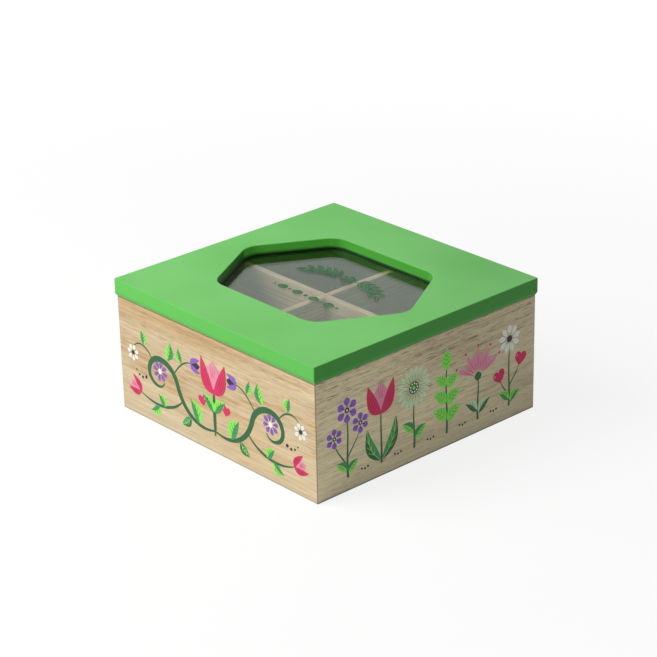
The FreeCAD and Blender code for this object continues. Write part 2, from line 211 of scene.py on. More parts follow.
def grainOf(tree, board):        # colour, roughness and height of one board's grain
    place = put(tree, "TexCoord").outputs["Object"]
    split = put(tree, "SeparateXYZ", {"Vector": place}).outputs
    along, deep, across = [split[axis.upper()] for axis in board["axes"]]
    turned = put(tree, "CombineXYZ", {"X": along, "Y": deep, "Z": across}).outputs[0]
    spot = put(tree, "VectorMath", {0: turned, 1: board["shift"]}, operation="ADD").outputs[0]

    # distance from the heart of the tree, in rings
    wander = noise(tree, stretch(tree, spot, ringWood["wander"]))
    uneven = noise(tree, stretch(tree, spot, ringWood["uneven"]), 1.0)
    drift = calc(tree, "MULTIPLY", calc(tree, "SUBTRACT", wander, 0.5), ringWood["drift"] * 2)
    drift = calc(tree, "MULTIPLY_ADD", calc(tree, "SUBTRACT", uneven, 0.5), ringWood["unevenBy"] * 2, drift)
    pithDeep, pithAcross = board["pith"]
    lean = calc(tree, "MULTIPLY", along, board["taper"])
    fromPith = calc(tree, "ADD", calc(tree, "SUBTRACT", deep, pithDeep), lean)
    aside = calc(tree, "SUBTRACT", across, pithAcross)
    squares = [calc(tree, "MULTIPLY", part, part) for part in (fromPith, aside)]
    radius = calc(tree, "ADD", calc(tree, "SQRT", calc(tree, "ADD", *squares)), drift)
    ring = calc(tree, "FRACT", calc(tree, "DIVIDE", radius, board["ringGap"]))
    early = hump(tree, ring, *ringWood["early"])
    brim = hump(tree, ring, *ringWood["brim"])

    # pores, in two sizes, and the line between rings
    cloud = noise(tree, stretch(tree, spot, ringWood["cloud"]), 3.0)
    fibre = noise(tree, stretch(tree, spot, ringWood["fibre"]), 4.0, 0.65)
    pore = noise(tree, stretch(tree, spot, ringWood["pore"]), 2.0, 0.55)
    dash = noise(tree, stretch(tree, spot, ringWood["dash"]))
    crowd = span(tree, early, *ringWood["crowded"], board["loose"], 1.0)
    wide = calc(tree, "MULTIPLY", span(tree, pore, *ringWood["poreCut"]), crowd)
    scatter = span(tree, cloud, *ringWood["dashShare"])
    fine = calc(tree, "MULTIPLY", span(tree, dash, *ringWood["dashCut"]), scatter)
    line = calc(tree, "MULTIPLY", brim, span(tree, fibre, *ringWood["lineShare"]))
    mark = calc(tree, "MAXIMUM", calc(tree, "MAXIMUM", wide, fine), line)
    blushLow, blushHigh, blushShare = board["blush"]
    upward = span(tree, across, blushLow, blushHigh, board.get("sparse", ringWood["sparse"]), 1.0)
    mark = calc(tree, "MULTIPLY", calc(tree, "MULTIPLY", mark, upward), board["pores"])

    # tone, from pale to warm
    tone = calc(tree, "MULTIPLY", early, span(tree, cloud, *ringWood["ringCut"], *board["rings"]))
    tone = calc(tree, "ADD", tone, span(tree, cloud, *ringWood["cloudShare"]))
    tone = calc(tree, "ADD", tone, span(tree, across, blushLow, blushHigh, 0.0, blushShare))
    if "stain" in board:
        stainRise, stainEnd, stainShare = board["stain"]
        reach = span(tree, along, *stainEnd, stainShare, 0.0)
        tone = calc(tree, "ADD", tone, calc(tree, "MULTIPLY", span(tree, across, *stainRise), reach))
    figure = noise(tree, stretch(tree, spot, ringWood["figure"]), 2.0, 0.6)
    streaks = span(tree, figure, *ringWood["figureCut"], 0.0, board["figure"])
    streaks = calc(tree, "MULTIPLY", streaks, upward)
    streaks = calc(tree, "MULTIPLY", streaks, span(tree, cloud, *ringWood["figureShare"]))
    tone = calc(tree, "ADD", tone, streaks, clamp=True)
    colour = blendColour(tree, tone, board["pale"], board["warm"])
    half = ringWood["halfLength"]
    fade = span(tree, along, -half, half, *board.get("fade", (1.0, 1.0)))
    colour = dim(tree, colour, calc(tree, "MULTIPLY", span(tree, fibre, *ringWood["fibreShade"]), fade))
    colour = blendColour(tree, mark, colour, board["dark"])
    roughness = span(tree, fibre, *ringWood["gloss"])
    height = calc(tree, "SUBTRACT", calc(tree, "MULTIPLY", fibre, ringWood["fibreHeight"]), mark)
    return split, colour, roughness, height


def wallEdges(tree, board, split, colour):        # seams of the walls, with painted shade on their inner faces, at their feet, under the lid and along the floor
    lowest, highest = [corner.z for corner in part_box("front_wall")]
    nearest, farthest = [corner.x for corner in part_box("right_wall")]
    sideways = calc(tree, "ABSOLUTE", split["X"])
    lengthways = calc(tree, "ABSOLUTE", split["Y"])
    gap = calc(tree, "ABSOLUTE", calc(tree, "SUBTRACT", sideways, lengthways))
    colour = blendColour(tree, span(tree, gap, *ringWood["seam"], 0.0), colour, board["dark"])
    outside = calc(tree, "MAXIMUM", sideways, lengthways)
    # painted shade on the faces inside the box
    shadeStart, shadeEnd = [nearest + depth for depth in ringWood["insideShadeFrom"]]
    insideShadeShare = span(tree, outside, shadeStart, shadeEnd, 1.0, 0.0)
    colour = blendColour(tree, insideShadeShare, colour, ringWood["insideShade"], "MULTIPLY")
    # painted shadow: dark lines under the lid's overhang and where the walls meet the floor
    rim = ringWood["rim"]
    above, below = board["rim"]
    upper = span(tree, split["Z"], *[highest - rims * rim for rims in ringWood["lidShadowRims"]], 0.0, above)
    lower = span(tree, split["Z"], *[lowest + rims * rim for rims in ringWood["floorShadowRims"]], below, 0.0)
    shell = span(tree, outside, farthest - rim, farthest - ringWood["rimSide"] * rim)
    # painted shade near the floor, on the outer faces
    floorShadeShare, floorShadeHeight = board["foot"]
    foot = span(tree, split["Z"], lowest, lowest + floorShadeHeight, floorShadeShare, 0.0)
    colour = blendColour(tree, calc(tree, "MULTIPLY", shell, foot), colour, ringWood["floorShadeColour"])
    edgeShadow = calc(tree, "MULTIPLY", shell, calc(tree, "MAXIMUM", upper, lower))
    return blendColour(tree, edgeShadow, colour, ringWood["edgeShadowColour"])


def boardFinish(name, board):
    finish, tree, shader = newFinish(name + "_wood")
    split, colour, roughness, height = grainOf(tree, board)
    if name in mitred:
        colour = wallEdges(tree, board, split, colour)
    tree.links.new(colour, shader.inputs["Base Color"])
    tree.links.new(roughness, shader.inputs["Roughness"])
    shader.inputs["Specular IOR Level"].default_value = ringWood["coat"]
    bump(tree, shader, height, *ringWood["relief"])
    return finish


for boardName in boards:
    dress(boardFinish(boardName, boards[boardName]), boardName)
print("boards finished:", len(boards))


# lid: satin paint, sprayed, dulled by wear on its arrises, with painted shade on its sides, ends and cut-out

lidPaint = {
    "green": (0.166, 0.562, 0.134),
    "deep": (0.149, 0.524, 0.117),
    "side": (0.115, 0.510, 0.090),        # the upright faces are a deeper green, set darker also as painted shade for the lid's shaded side
    "cut": (0.122, 0.630, 0.072),        # the cut-out's walls, a more saturated green
    # painted shade for the cut-out's walls
    "cutShadeColour": (0.036, 0.250, 0.016),
    "wornShade": (0.112, 0.410, 0.088),        # arrises dulled by wear, and darker as painted shade that damps the light they catch
    "endShade": (0.050, 0.282, 0.040),        # painted shade on the lid's end faces, left and right
    # painted shade at the foot of the cut-out's walls
    "foot": (0.010, 0.050, 0.008),
    "underPaneShade": (0.005, 0.018, 0.004),        # painted shade: the edge below the pane is near black, for the shade under the lid
    "cloud": (0.060, 0.060, 0.060),        # cell sizes in metres
    "peel": (0.0016, 0.0016, 0.0016),
    "dust": (0.0007, 0.0007, 0.0007),
    "cloudCut": (0.30, 0.72),
    "dustCut": (0.72, 0.80),
    "dustHeight": 0.5,
    "corner": (0.03, 0.15, 1.0, 0.86),        # painted shade: darker towards the back right corner, where the light falls off
    "edgeBand": 0.8 * mm,
    "wearAndShade": (0.34, 0.66, 0.55, 1.0),
    "endFacing": (0.35, 0.80),
    "flatFacing": (0.5, 0.8),
    "cutFrom": 10 * mm,        # what lies further in from the sides is the cut-out
    "cutShadeDepth": (3.2 * mm, 5.9 * mm, 0.0, 0.9),        # painted shade deepens down the cut-out's walls
    "cutFootShadeDepth": (4.6 * mm, 5.8 * mm, 0.0, 0.9),
    "backShadeFacing": (0.45, 0.95, 0.0, 0.67),        # painted shade: the cut-out's walls that face front or back are darker than its ends
    "shadedFacing": (0.25, 0.50),        # and its front sides, facing away from the light, get the most painted shade
    "shadedDepth": (1.5 * mm, 5.0 * mm, 0.0, 0.85),
    "gloss": (0.25, 0.75, 0.40, 0.52),
    "coat": 0.20,
    "relief": (0.10, 0.06 * mm),
}


def cutOutPaintAndShade(tree, colour, inside, facingY, fromTop):        # painted shade down the cut-out's sides, at their foot and below the pane
    shaded = span(tree, facingY, *lidPaint["shadedFacing"])
    dull = span(tree, calc(tree, "ABSOLUTE", facingY), *lidPaint["backShadeFacing"])
    dull = calc(tree, "MAXIMUM", dull, span(tree, fromTop, *lidPaint["cutShadeDepth"]))
    dull = calc(tree, "MAXIMUM", dull, shaded)
    colour = blendColour(tree, calc(tree, "MULTIPLY", inside, dull), colour, lidPaint["cutShadeColour"])
    frontShade = calc(tree, "MULTIPLY", shaded, span(tree, fromTop, *lidPaint["shadedDepth"]))
    foot = calc(tree, "MAXIMUM", span(tree, fromTop, *lidPaint["cutFootShadeDepth"]), frontShade)
    colour = blendColour(tree, calc(tree, "MULTIPLY", inside, foot), colour, lidPaint["foot"])
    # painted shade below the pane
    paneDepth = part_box("lid_panel")[1].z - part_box("window_pane")[1].z
    below = calc(tree, "MULTIPLY", inside, calc(tree, "GREATER_THAN", fromTop, paneDepth))
    return blendColour(tree, below, colour, lidPaint["underPaneShade"])


def paintFinish():
    finish, tree, shader = newFinish("lid_paint")
    surface = put(tree, "TexCoord").outputs
    place = surface["Object"]
    split = put(tree, "SeparateXYZ", {"Vector": place}).outputs
    facing = put(tree, "SeparateXYZ", {"Vector": surface["Normal"]}).outputs
    cloud = noise(tree, stretch(tree, place, lidPaint["cloud"]), 3.0)
    peel = noise(tree, stretch(tree, place, lidPaint["peel"]))
    dust = noise(tree, stretch(tree, place, lidPaint["dust"]), 1.0)
    colour = blendColour(tree, span(tree, cloud, *lidPaint["cloudCut"]), lidPaint["green"], lidPaint["deep"])
    # painted shade, darker towards the back right
    colour = dim(tree, colour, span(tree, calc(tree, "ADD", split["X"], split["Y"]), *lidPaint["corner"]))

    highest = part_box("lid_panel")[1]
    sideways = calc(tree, "SUBTRACT", highest.x, calc(tree, "ABSOLUTE", split["X"]))
    lengthways = calc(tree, "SUBTRACT", highest.y, calc(tree, "ABSOLUTE", split["Y"]))
    fromSide = calc(tree, "MINIMUM", sideways, lengthways)
    fromTop = calc(tree, "SUBTRACT", highest.z, split["Z"])
    band = lidPaint["edgeBand"]
    arris = span(tree, calc(tree, "ADD", fromSide, fromTop), 0.0, band, 1.0, 0.0)
    # wear on the arrises, darkened also as painted shade against the light they catch
    wearAndShade = calc(tree, "MULTIPLY", arris, span(tree, peel, *lidPaint["wearAndShade"]))
    colour = blendColour(tree, wearAndShade, colour, lidPaint["wornShade"])
    # the upright faces: a deeper green, partly painted shade
    upright = span(tree, calc(tree, "ABSOLUTE", facing["Z"]), *lidPaint["flatFacing"], 1.0, 0.0)
    colour = blendColour(tree, upright, colour, lidPaint["side"])
    inside = calc(tree, "MULTIPLY", upright, calc(tree, "GREATER_THAN", fromSide, lidPaint["cutFrom"]))
    colour = blendColour(tree, inside, colour, lidPaint["cut"])
    # painted shade: the end faces near the lid's left and right sides are darkened
    ends = span(tree, calc(tree, "ABSOLUTE", facing["X"]), *lidPaint["endFacing"])
    endShadeShare = calc(tree, "MULTIPLY", span(tree, sideways, band, 2 * band, 1.0, 0.0), ends)
    colour = blendColour(tree, endShadeShare, colour, lidPaint["endShade"])
    colour = cutOutPaintAndShade(tree, colour, inside, facing["Y"], fromTop)
    tree.links.new(colour, shader.inputs["Base Color"])
    tree.links.new(span(tree, cloud, *lidPaint["gloss"]), shader.inputs["Roughness"])
    shader.inputs["Specular IOR Level"].default_value = lidPaint["coat"]
    specks = calc(tree, "MULTIPLY", span(tree, dust, *lidPaint["dustCut"]), lidPaint["dustHeight"])
    bump(tree, shader, calc(tree, "ADD", peel, specks), *lidPaint["relief"])
    return finish


dress(paintFinish(), "lid_panel", "pane_retainer")
print("lid painted")


# pane: clear polished sheet that lets the lamps through

clearSheet = {
    "tint": (0.800, 0.795, 0.750),
    "through": (0.40, 0.41, 0.39),        # the share of the lamps' light that passes
    "bend": 1.40,
    "sheen": (0.20, 0.90, 0.40),        # its polish reflects a faint green
    "smear": (0.030, 0.012, 0.030),
    "gloss": (0.45, 0.80, 0.010, 0.045),
}


def paneFinish():
    finish, tree, shader = newFinish("clear_sheet")
    place = put(tree, "TexCoord").outputs["Object"]
    smear = noise(tree, stretch(tree, place, clearSheet["smear"]), 4.0, 0.6)
    shader.inputs["Base Color"].default_value = (*clearSheet["tint"], 1.0)
    shader.inputs["Transmission Weight"].default_value = 1.0
    shader.inputs["IOR"].default_value = clearSheet["bend"]
    shader.inputs["Specular Tint"].default_value = (*clearSheet["sheen"], 1.0)
    tree.links.new(span(tree, smear, *clearSheet["gloss"]), shader.inputs["Roughness"])
    clear = put(tree, "BsdfTransparent", {"Color": (*clearSheet["through"], 1.0)})
    lamp = put(tree, "LightPath").outputs["Is Shadow Ray"]
    both = put(tree, "MixShader", {0: lamp, 1: shader.outputs[0], 2: clear.outputs[0]})
    tree.links.new(both.outputs[0], tree.nodes["Material Output"].inputs["Surface"])
    return finish


dress(paneFinish(), "window_pane")
print("pane glazed")


# metal: satin brass for the hinges, bright wire for brads and pins

metals = {
    "brass": {"light": (0.760, 0.600, 0.320), "dull": (0.540, 0.410, 0.205)},
    "steel": {"light": (0.640, 0.645, 0.650), "dull": (0.450, 0.455, 0.460)},
}
satin = {
    "stain": (0.004, 0.004, 0.004),        # cell sizes in metres
    "brush": (0.006, 0.00016, 0.00016),
    "stainCut": (0.42, 0.76),
    "gloss": (0.30, 0.75, 0.26, 0.44),
    "relief": (0.12, 0.02 * mm),
}
brassNames = [name for name in nodes if "hinge" in name or "screws" in name]
steelNames = ["bottom_brads", "retainer_pins"]


def metalFinish(name, metal):
    finish, tree, shader = newFinish("satin_" + name)
    place = put(tree, "TexCoord").outputs["Object"]
    stain = noise(tree, stretch(tree, place, satin["stain"]), 4.0, 0.6)
    brush = noise(tree, stretch(tree, place, satin["brush"]))
    colour = blendColour(tree, span(tree, stain, *satin["stainCut"]), metal["light"], metal["dull"])
    tree.links.new(colour, shader.inputs["Base Color"])
    tree.links.new(span(tree, stain, *satin["gloss"]), shader.inputs["Roughness"])
    shader.inputs["Metallic"].default_value = 1.0
    bump(tree, shader, brush, *satin["relief"])
    return finish


dress(metalFinish("brass", metals["brass"]), *brassNames)
dress(metalFinish("steel", metals["steel"]), *steelNames)
print("metal finished:", len(brassNames) + len(steelNames), "pieces")


# printed ornament: each ink is a set of thin closed films, sunk a little into the face that carries it

film = {"sink": 0.03, "first": 0.02, "rise": 0.0012}        # millimetres; each lies a hair above the last

inks = {
    "pine": (0.022, 0.120, 0.040),
    "green": (0.040, 0.310, 0.090),
    "lime": (0.215, 0.800, 0.070),
    "crimson": (0.640, 0.024, 0.110),
    "wine": (0.330, 0.010, 0.060),
    "pink": (0.740, 0.270, 0.390),
    "violet": (0.255, 0.110, 0.530),
    "plum": (0.028, 0.018, 0.062),
    "white": (0.850, 0.850, 0.790),
    "sage": (0.600, 0.770, 0.520),
}
inkCoat = {
    "fibre": (0.004, 0.004, 0.0006),        # cell sizes in metres
    "speck": (0.0009, 0.0009, 0.0005),
    "lighter": (0.012, 1.12, 0.9),        # a thin place: so much more, times so much, up to this
    "thin": (0.40, 0.75, 0.0, 0.55),
    "bare": (0.66, 0.80, 0.0, 0.30),        # the wood shows through in specks
    "gloss": (0.3, 0.7, 0.46, 0.60),
    "coat": 0.30,
    "relief": (0.15, 0.03 * mm),
}


def inkFinish(name, colour):
    finish, tree, shader = newFinish("ink_" + name)
    place = put(tree, "TexCoord").outputs["Object"]
    fibre = noise(tree, stretch(tree, place, inkCoat["fibre"]), 3.0, 0.6)
    speck = noise(tree, stretch(tree, place, inkCoat["speck"]))
    more, times, most = inkCoat["lighter"]
    light = tuple(min(most, more + channel * times) for channel in colour)
    shade = blendColour(tree, span(tree, fibre, *inkCoat["thin"]), colour, light)
    shade = blendColour(tree, span(tree, speck, *inkCoat["bare"]), shade, boards["front_wall"]["warm"])
    tree.links.new(shade, shader.inputs["Base Color"])
    tree.links.new(span(tree, fibre, *inkCoat["gloss"]), shader.inputs["Roughness"])
    shader.inputs["Specular IOR Level"].default_value = inkCoat["coat"]
    bump(tree, shader, fibre, *inkCoat["relief"])
    return finish


inkFinishes = {name: inkFinish(name, colour) for name, colour in inks.items()}


def arrow(angle):
    return Vector((math.cos(angle), math.sin(angle)))


def leftOf(direction):
    return Vector((-direction.y, direction.x))


def cubic(points, count):        # points along one curve with two handles
    first, second, third, fourth = [Vector(point) for point in points]
    run = []
    for step in range(count + 1):
        t = step / count
        s = 1 - t
        run.append(first * s ** 3 + second * (3 * s * s * t) + third * (3 * s * t * t) + fourth * t ** 3)
    return run


class Sheet:        # the films of one printed face, gathered by ink
    def __init__(self, name, place):
        self.name = name
        self.place = place
        self.flip = 1        # -1 mirrors what is laid next
        self.shift = 0.0        # and this moves it sideways
        self.height = film["first"]
        self.highest = self.height
        self.films = {}

    def restart(self):        # for what touches nothing laid before
        self.height = film["first"]

    def band(self, ink, left, right=()):        # two edges of a strip, or one closed outline
        edges = []
        for edge in (left, right):
            edges.append([Vector((self.flip * spot.x + self.shift, spot.y)) for spot in edge])
        self.films.setdefault(ink, []).append((*edges, self.height))
        self.highest = max(self.highest, self.height)
        self.height += film["rise"]

    def press(self, shape, left, right, top):
        outline = left + right[::-1]
        count = len(outline)
        rings = []
        for height in (top, -film["sink"]):
            rings.append([shape.verts.new(self.place(spot.x, spot.y, height)) for spot in outline])
        for index in range(count):
            after = (index + 1) % count
            shape.faces.new((rings[0][index], rings[0][after], rings[1][after], rings[1][index]))
        for ring in rings:
            if right:
                for index in range(len(left) - 1):
                    far = count - 1 - index
                    shape.faces.new((ring[index], ring[index + 1], ring[far - 1], ring[far]))
            else:
                shape.faces.new(ring)

    def build(self, body):
        for ink, films in self.films.items():
            shape = bmesh.new()
            for left, right, top in films:
                self.press(shape, left, right, top)
            bmesh.ops.recalc_face_normals(shape, faces=shape.faces)
            mesh = bpy.data.meshes.new(self.name + "_" + ink)
            shape.to_mesh(mesh)
            shape.free()
            mesh.materials.append(inkFinishes[ink])
            piece = bpy.data.objects.new(mesh.name, mesh)
            bpy.context.scene.collection.objects.link(piece)
            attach(piece, body)


# motifs, in millimetres on the face; a heading is in degrees, 90 is up

def onto(base, heading):        # a motif's own axes: x to its left, y along its heading
    root, ahead = Vector(base), arrow(math.radians(heading))
    aside = leftOf(ahead)
    return lambda x, y: root + aside * x + ahead * y


def stroke(sheet, ink, path, widths):        # a swelling line: its widths at the start, middle and end
    left, right = [], []
    last = len(path) - 1
    first, middle, end = widths
    for index, spot in enumerate(path):
        before, after = path[max(index - 1, 0)], path[min(index + 1, last)]
        t = index / last
        width = first * (1 - t) ** 2 + (4 * middle - first - end) * t * (1 - t) + end * t ** 2
        side = leftOf((after - before).normalized()) * width / 2
        left.append(spot + side)
        right.append(spot - side)
    sheet.band(ink, left, right)


leafCut = {
    "rib": 0.16, "steps": 14,
    "ends": (0.02, 0.98),        # its tips are cut off, as shares of the length
    "belly": 0.82,        # under 1 moves the broadest place to the stem
    "least": 0.4,        # ribs that are left of the width at the tips
    "veins": (0.28, 0.46, 0.64), "veinRun": 0.16, "veinReach": 0.8, "veinWidths": (0.36, 0.30, 0.16),
    "pairAside": 0.4, "pairBend": 0.11,        # two leaves, one to each side of a stem
}


def leaf(sheet, base, heading, length, width, pair, bend=0.12, vein=None):        # two halves
    at = onto(base, heading)
    rib, steps = leafCut["rib"], leafCut["steps"]

    def sway(t):
        return bend * length * math.sin(math.pi * t)

    def spread(t):
        return width / 2 * math.sin(math.pi * t ** leafCut["belly"]) + rib * leafCut["least"]

    start, stop = leafCut["ends"]
    times = [start + (stop - start) * step / steps for step in range(steps + 1)]
    for side, ink in zip((1, -1), pair):
        inner = [at(sway(t) + side * rib, length * t) for t in times]
        outer = [at(sway(t) + side * (rib + spread(t)), length * t) for t in times]
        sheet.band(ink, inner, outer)
    if vein:
        for t in leafCut["veins"]:
            tip = t + leafCut["veinRun"]
            for side in (1, -1):
                near = at(sway(t) + side * rib, length * t)
                far = at(sway(tip) + side * spread(tip) * leafCut["veinReach"], length * tip)
                stroke(sheet, vein, [near, near.lerp(far, 0.5), far], leafCut["veinWidths"])


dropCut = {"steps": 12, "ends": (0.015, 0.985), "round": 0.8}


def drop(sheet, ink, base, heading, length, width, sharp=0.75):        # a petal or a bud
    at = onto(base, heading)
    left, right = [], []
    start, stop = dropCut["ends"]
    steps = dropCut["steps"]
    for step in range(steps + 1):
        t = start + (stop - start) * step / steps
        half = width / 2 * math.sin(math.pi * t ** (1 / sharp)) ** dropCut["round"]
        left.append(at(half, length * t))
        right.append(at(-half, length * t))
    sheet.band(ink, left, right)


def dot(sheet, ink, centre, radius, count=16):
    middle = Vector(centre)
    sheet.band(ink, [middle + arrow(2 * math.pi * step / count) * radius for step in range(count)])


def dots(sheet, ink, path, first, last):        # a row of dots from the first size to the last
    for index, spot in enumerate(path):
        dot(sheet, ink, spot, first + (last - first) * index / (len(path) - 1), 12)


def ray(sheet, ink, base, heading, first, last, width):        # a fine straight line along a petal
    at = onto(base, heading)
    stroke(sheet, ink, [at(0, first), at(0, (first + last) / 2), at(0, last)], (width, width, width * 0.4))


daisyCut = {
    "broadest": 0.66, "lineTo": 0.74,        # shares of the radius
    "heart": 0.86, "lineWidth": 0.34,
}


def daisy(sheet, centre, radius, count, ink, heartInk, spin=0.0, inner=0.30, fat=0.80, lines=None):
    width = 2 * math.pi * radius * daisyCut["broadest"] / count * fat
    lineTo = radius * daisyCut["lineTo"]
    for index in range(count):
        heading = spin + 360 * index / count
        root = Vector(centre) + arrow(math.radians(heading)) * radius * inner
        drop(sheet, ink, root, heading, radius * (1 - inner), width)
        if lines:
            ray(sheet, lines, centre, heading, radius * inner, lineTo, daisyCut["lineWidth"])
    dot(sheet, heartInk, centre, radius * inner * daisyCut["heart"])


tulipCut = {
    "rim": ((0, 0), (0.60, -0.04), (0.58, 0.55), (0.50, 1.0)),        # a front petal's outer edge
    "lip": ((0, 0.10), (0.10, 0.38), (0.22, 0.66), (0.49, 0.99)),        # and its inner one, in sizes
    "steps": 14,
    "lines": (0.30, 0.52, 0.74), "lineFrom": 3, "lineTo": 11, "lineWidths": (0.16, 0.40, 0.12),
    "back": (0.14, 0.84, 0.50), "backSharp": 0.9,        # the petal behind: its foot, length and width
    "backLeans": (-9, 0, 9), "backLine": (0.20, 0.30, 0.66), "backLineWidth": 0.34,
}


def tulip(sheet, base, heading, size, outer, inner, lines=None):        # one petal behind, two in front
    at = onto(base, heading)
    foot, length, width = [share * size for share in tulipCut["back"]]
    drop(sheet, inner, at(0, foot), heading, length, width, tulipCut["backSharp"])
    if lines:
        root, first, last = [share * size for share in tulipCut["backLine"]]
        for lean in tulipCut["backLeans"]:
            ray(sheet, outer, at(0, root), heading + lean, first, last, tulipCut["backLineWidth"])
    for side in (size, -size):
        rim = cubic([at(x * side, y * size) for x, y in tulipCut["rim"]], tulipCut["steps"])
        lip = cubic([at(x * side, y * size) for x, y in tulipCut["lip"]], tulipCut["steps"])
        sheet.band(outer, lip, rim)
        if lines:
            for share in tulipCut["lines"]:
                run = [near.lerp(far, share) for near, far in zip(lip, rim)]
                stroke(sheet, lines, run[tulipCut["lineFrom"]:tulipCut["lineTo"]], tulipCut["lineWidths"])


heartCut = {
    "side": ((0, 0), (0.30, 0.22), (0.62, 0.50), (0.52, 0.80)),        # one half, in sizes
    "lobe": ((0.52, 0.80), (0.42, 1.06), (0.08, 1.04), (0.0, 0.78)),
    "steps": 10, "glint": (0.36, 0.56), "glintLean": 8, "glintSize": (0.26, 0.13),
}


def heart(sheet, tip, heading, size, ink):
    at = onto(tip, heading)
    half = cubic(heartCut["side"], heartCut["steps"])
    half += cubic(heartCut["lobe"], heartCut["steps"])[1:]
    right = [at(-spot.x * size, spot.y * size) for spot in half]
    left = [at(spot.x * size, spot.y * size) for spot in half[-2:0:-1]]
    sheet.band(ink, right + left)
    glintX, glintY = heartCut["glint"]
    length, width = heartCut["glintSize"]
    glint = at(glintX * size, glintY * size)
    drop(sheet, "pink", glint, heading + heartCut["glintLean"], size * length, size * width)


def leafPair(sheet, base, length, width, pair, heading=38, gap=1.5, vein=None):        # beside a stem
    left, right = pair
    x, y = base
    aside, bend = leafCut["pairAside"], leafCut["pairBend"]
    leaf(sheet, (x + aside, y), heading, length, width, (left, right), bend, vein)
    leaf(sheet, (x - aside, y + gap), 180 - heading, length, width, (right, left), -bend, vein)


# front: one scroll vine, the same on the left and on the right

def frontOrnament(sheet):
    for sheet.flip in (1, -1):
        sheet.restart()
        trunk = cubic(((1.0, 13.2), (15, 9), (27, 17), (31, 30)), 18)
        trunk += cubic(((31, 30), (34.5, 43), (53, 45), (55.5, 33)), 18)[1:]
        trunk += cubic(((55.5, 33), (57, 24.5), (45, 21), (42.6, 27.5)), 14)[1:]
        stroke(sheet, "pine", cubic(((27.5, 21.5), (35, 12.5), (51, 9.5), (64, 15.5)), 18), (0.8, 1.8, 0.5))
        stroke(sheet, "pine", cubic(((33.2, 37.0), (28, 44), (23, 47.5), (18.5, 47.2)), 12), (0.7, 1.0, 0.4))
        stroke(sheet, "pine", cubic(((53, 39.5), (58, 46), (65, 46.5), (68.5, 42)), 12), (0.7, 1.1, 0.4))
        stroke(sheet, "pine", trunk, (1.2, 3.6, 0.7))
        leaf(sheet, (13.0, 13.2), 62, 15, 7.4, ("lime", "green"), 0.10, "pine")
        leaf(sheet, (20.5, 14.2), -38, 10, 5.2, ("green", "pine"), -0.10, "lime")
        leaf(sheet, (42.5, 12.8), 50, 9, 5.0, ("lime", "green"), 0.10, "pine")
        leaf(sheet, (47.0, 11.8), -30, 10, 5.0, ("green", "lime"), -0.12, "pine")
        leaf(sheet, (39.5, 42.4), 104, 12, 6.2, ("green", "lime"), 0.10, "pine")
        leaf(sheet, (59.4, 45.4), 78, 8.5, 4.6, ("lime", "green"), 0.10, "pine")
        leaf(sheet, (27.4, 44.6), 74, 8.5, 4.4, ("green", "lime"), -0.10, "pine")
        daisy(sheet, (46.0, 33.6), 6.2, 8, "violet", "white", 12, lines="plum")
        tulip(sheet, (64.0, 15.4), 26, 10.0, "crimson", "pink", "wine")
        tulip(sheet, (19.0, 47.2), 178, 8.0, "violet", "plum")
        daisy(sheet, (69.6, 37.6), 5.0, 7, "white", "plum", 8, lines="sage")
        heart(sheet, (9.2, 25.6), 78, 6.0, "crimson")
        dots(sheet, "plum", cubic(((58.8, 26.0), (62, 24.2), (65, 25), (67.2, 28)), 3), 1.0, 0.5)
    sheet.flip = 1
    stroke(sheet, "pine", cubic(((0, 10.6), (0.01, 18), (-0.01, 26), (0, 36.5)), 12), (1.0, 2.4, 1.2))
    leafPair(sheet, (0, 24.6), 12, 5.6, ("lime", "green"), 44, 0.0, "pine")
    tulip(sheet, (0, 35.4), 90, 19.5, "crimson", "pink", "wine")


# sides: a row of upright sprigs, each drawn about its own foot

def stem(sheet, *points):
    stroke(sheet, "pine", cubic(points, 12), (1.6, 1.2, 0.8))


def twig(sheet, *points):
    stroke(sheet, "pine", cubic(points, 10), (0.9, 0.8, 0.5))


def starSprig(sheet):        # three six-petalled stars
    stem(sheet, (0, 8), (-1, 20), (1, 30), (0, 40))
    twig(sheet, (-0.4, 15), (-4, 21), (-7, 24), (-8.6, 28.6))
    twig(sheet, (0.2, 20), (4, 25), (6.6, 28), (8.2, 31.6))
    leafPair(sheet, (-0.2, 10.5), 9.5, 4.6, ("green", "lime"), vein="pine")
    for spot, radius in (((0, 46.8), 7.4), ((-9.2, 33.4), 5.8), ((9.2, 36.6), 6.0)):
        daisy(sheet, spot, radius, 6, "violet", "plum", 30, 0.26, 0.86, "plum")
        dot(sheet, "white", spot, radius * 0.09, 10)


def tulipSprig(sheet):
    stem(sheet, (0, 8), (0.5, 18), (-0.6, 28), (0, 38))
    leaf(sheet, (0.6, 9.5), 66, 25, 6.4, ("green", "pine"), -0.12, "lime")
    leaf(sheet, (-0.6, 9.5), 114, 23, 6.4, ("pine", "green"), 0.12, "lime")
    tulip(sheet, (0, 36.6), 90, 18.5, "crimson", "pink", "wine")


def wheelSprig(sheet):        # one large flower with many petals
    stem(sheet, (0, 8), (1, 16), (-1, 24), (0, 33))
    leafPair(sheet, (0.2, 13), 11, 5.2, ("green", "lime"), gap=4.5, vein="pine")
    daisy(sheet, (0, 43.5), 12.6, 18, "sage", "pine", 0, 0.34, 0.84, "green")
    ring = [Vector((0, 43.5)) + arrow(2 * math.pi * step / 9) * 2.5 for step in range(9)]
    dots(sheet, "white", ring, 0.55, 0.55)
    dot(sheet, "lime", (0, 43.5), 1.1)


def frondSprig(sheet):        # leaves in pairs
    stem(sheet, (0, 8), (1, 22), (-1.5, 36), (0, 46))
    for height, length in ((15, 12.5), (25, 12), (35, 10.5)):
        leafPair(sheet, (0.1, height), length, length * 0.54, ("lime", "lime"), vein="green")
    leaf(sheet, (0, 45.6), 88, 12.5, 6.8, ("lime", "lime"), 0.04, "green")


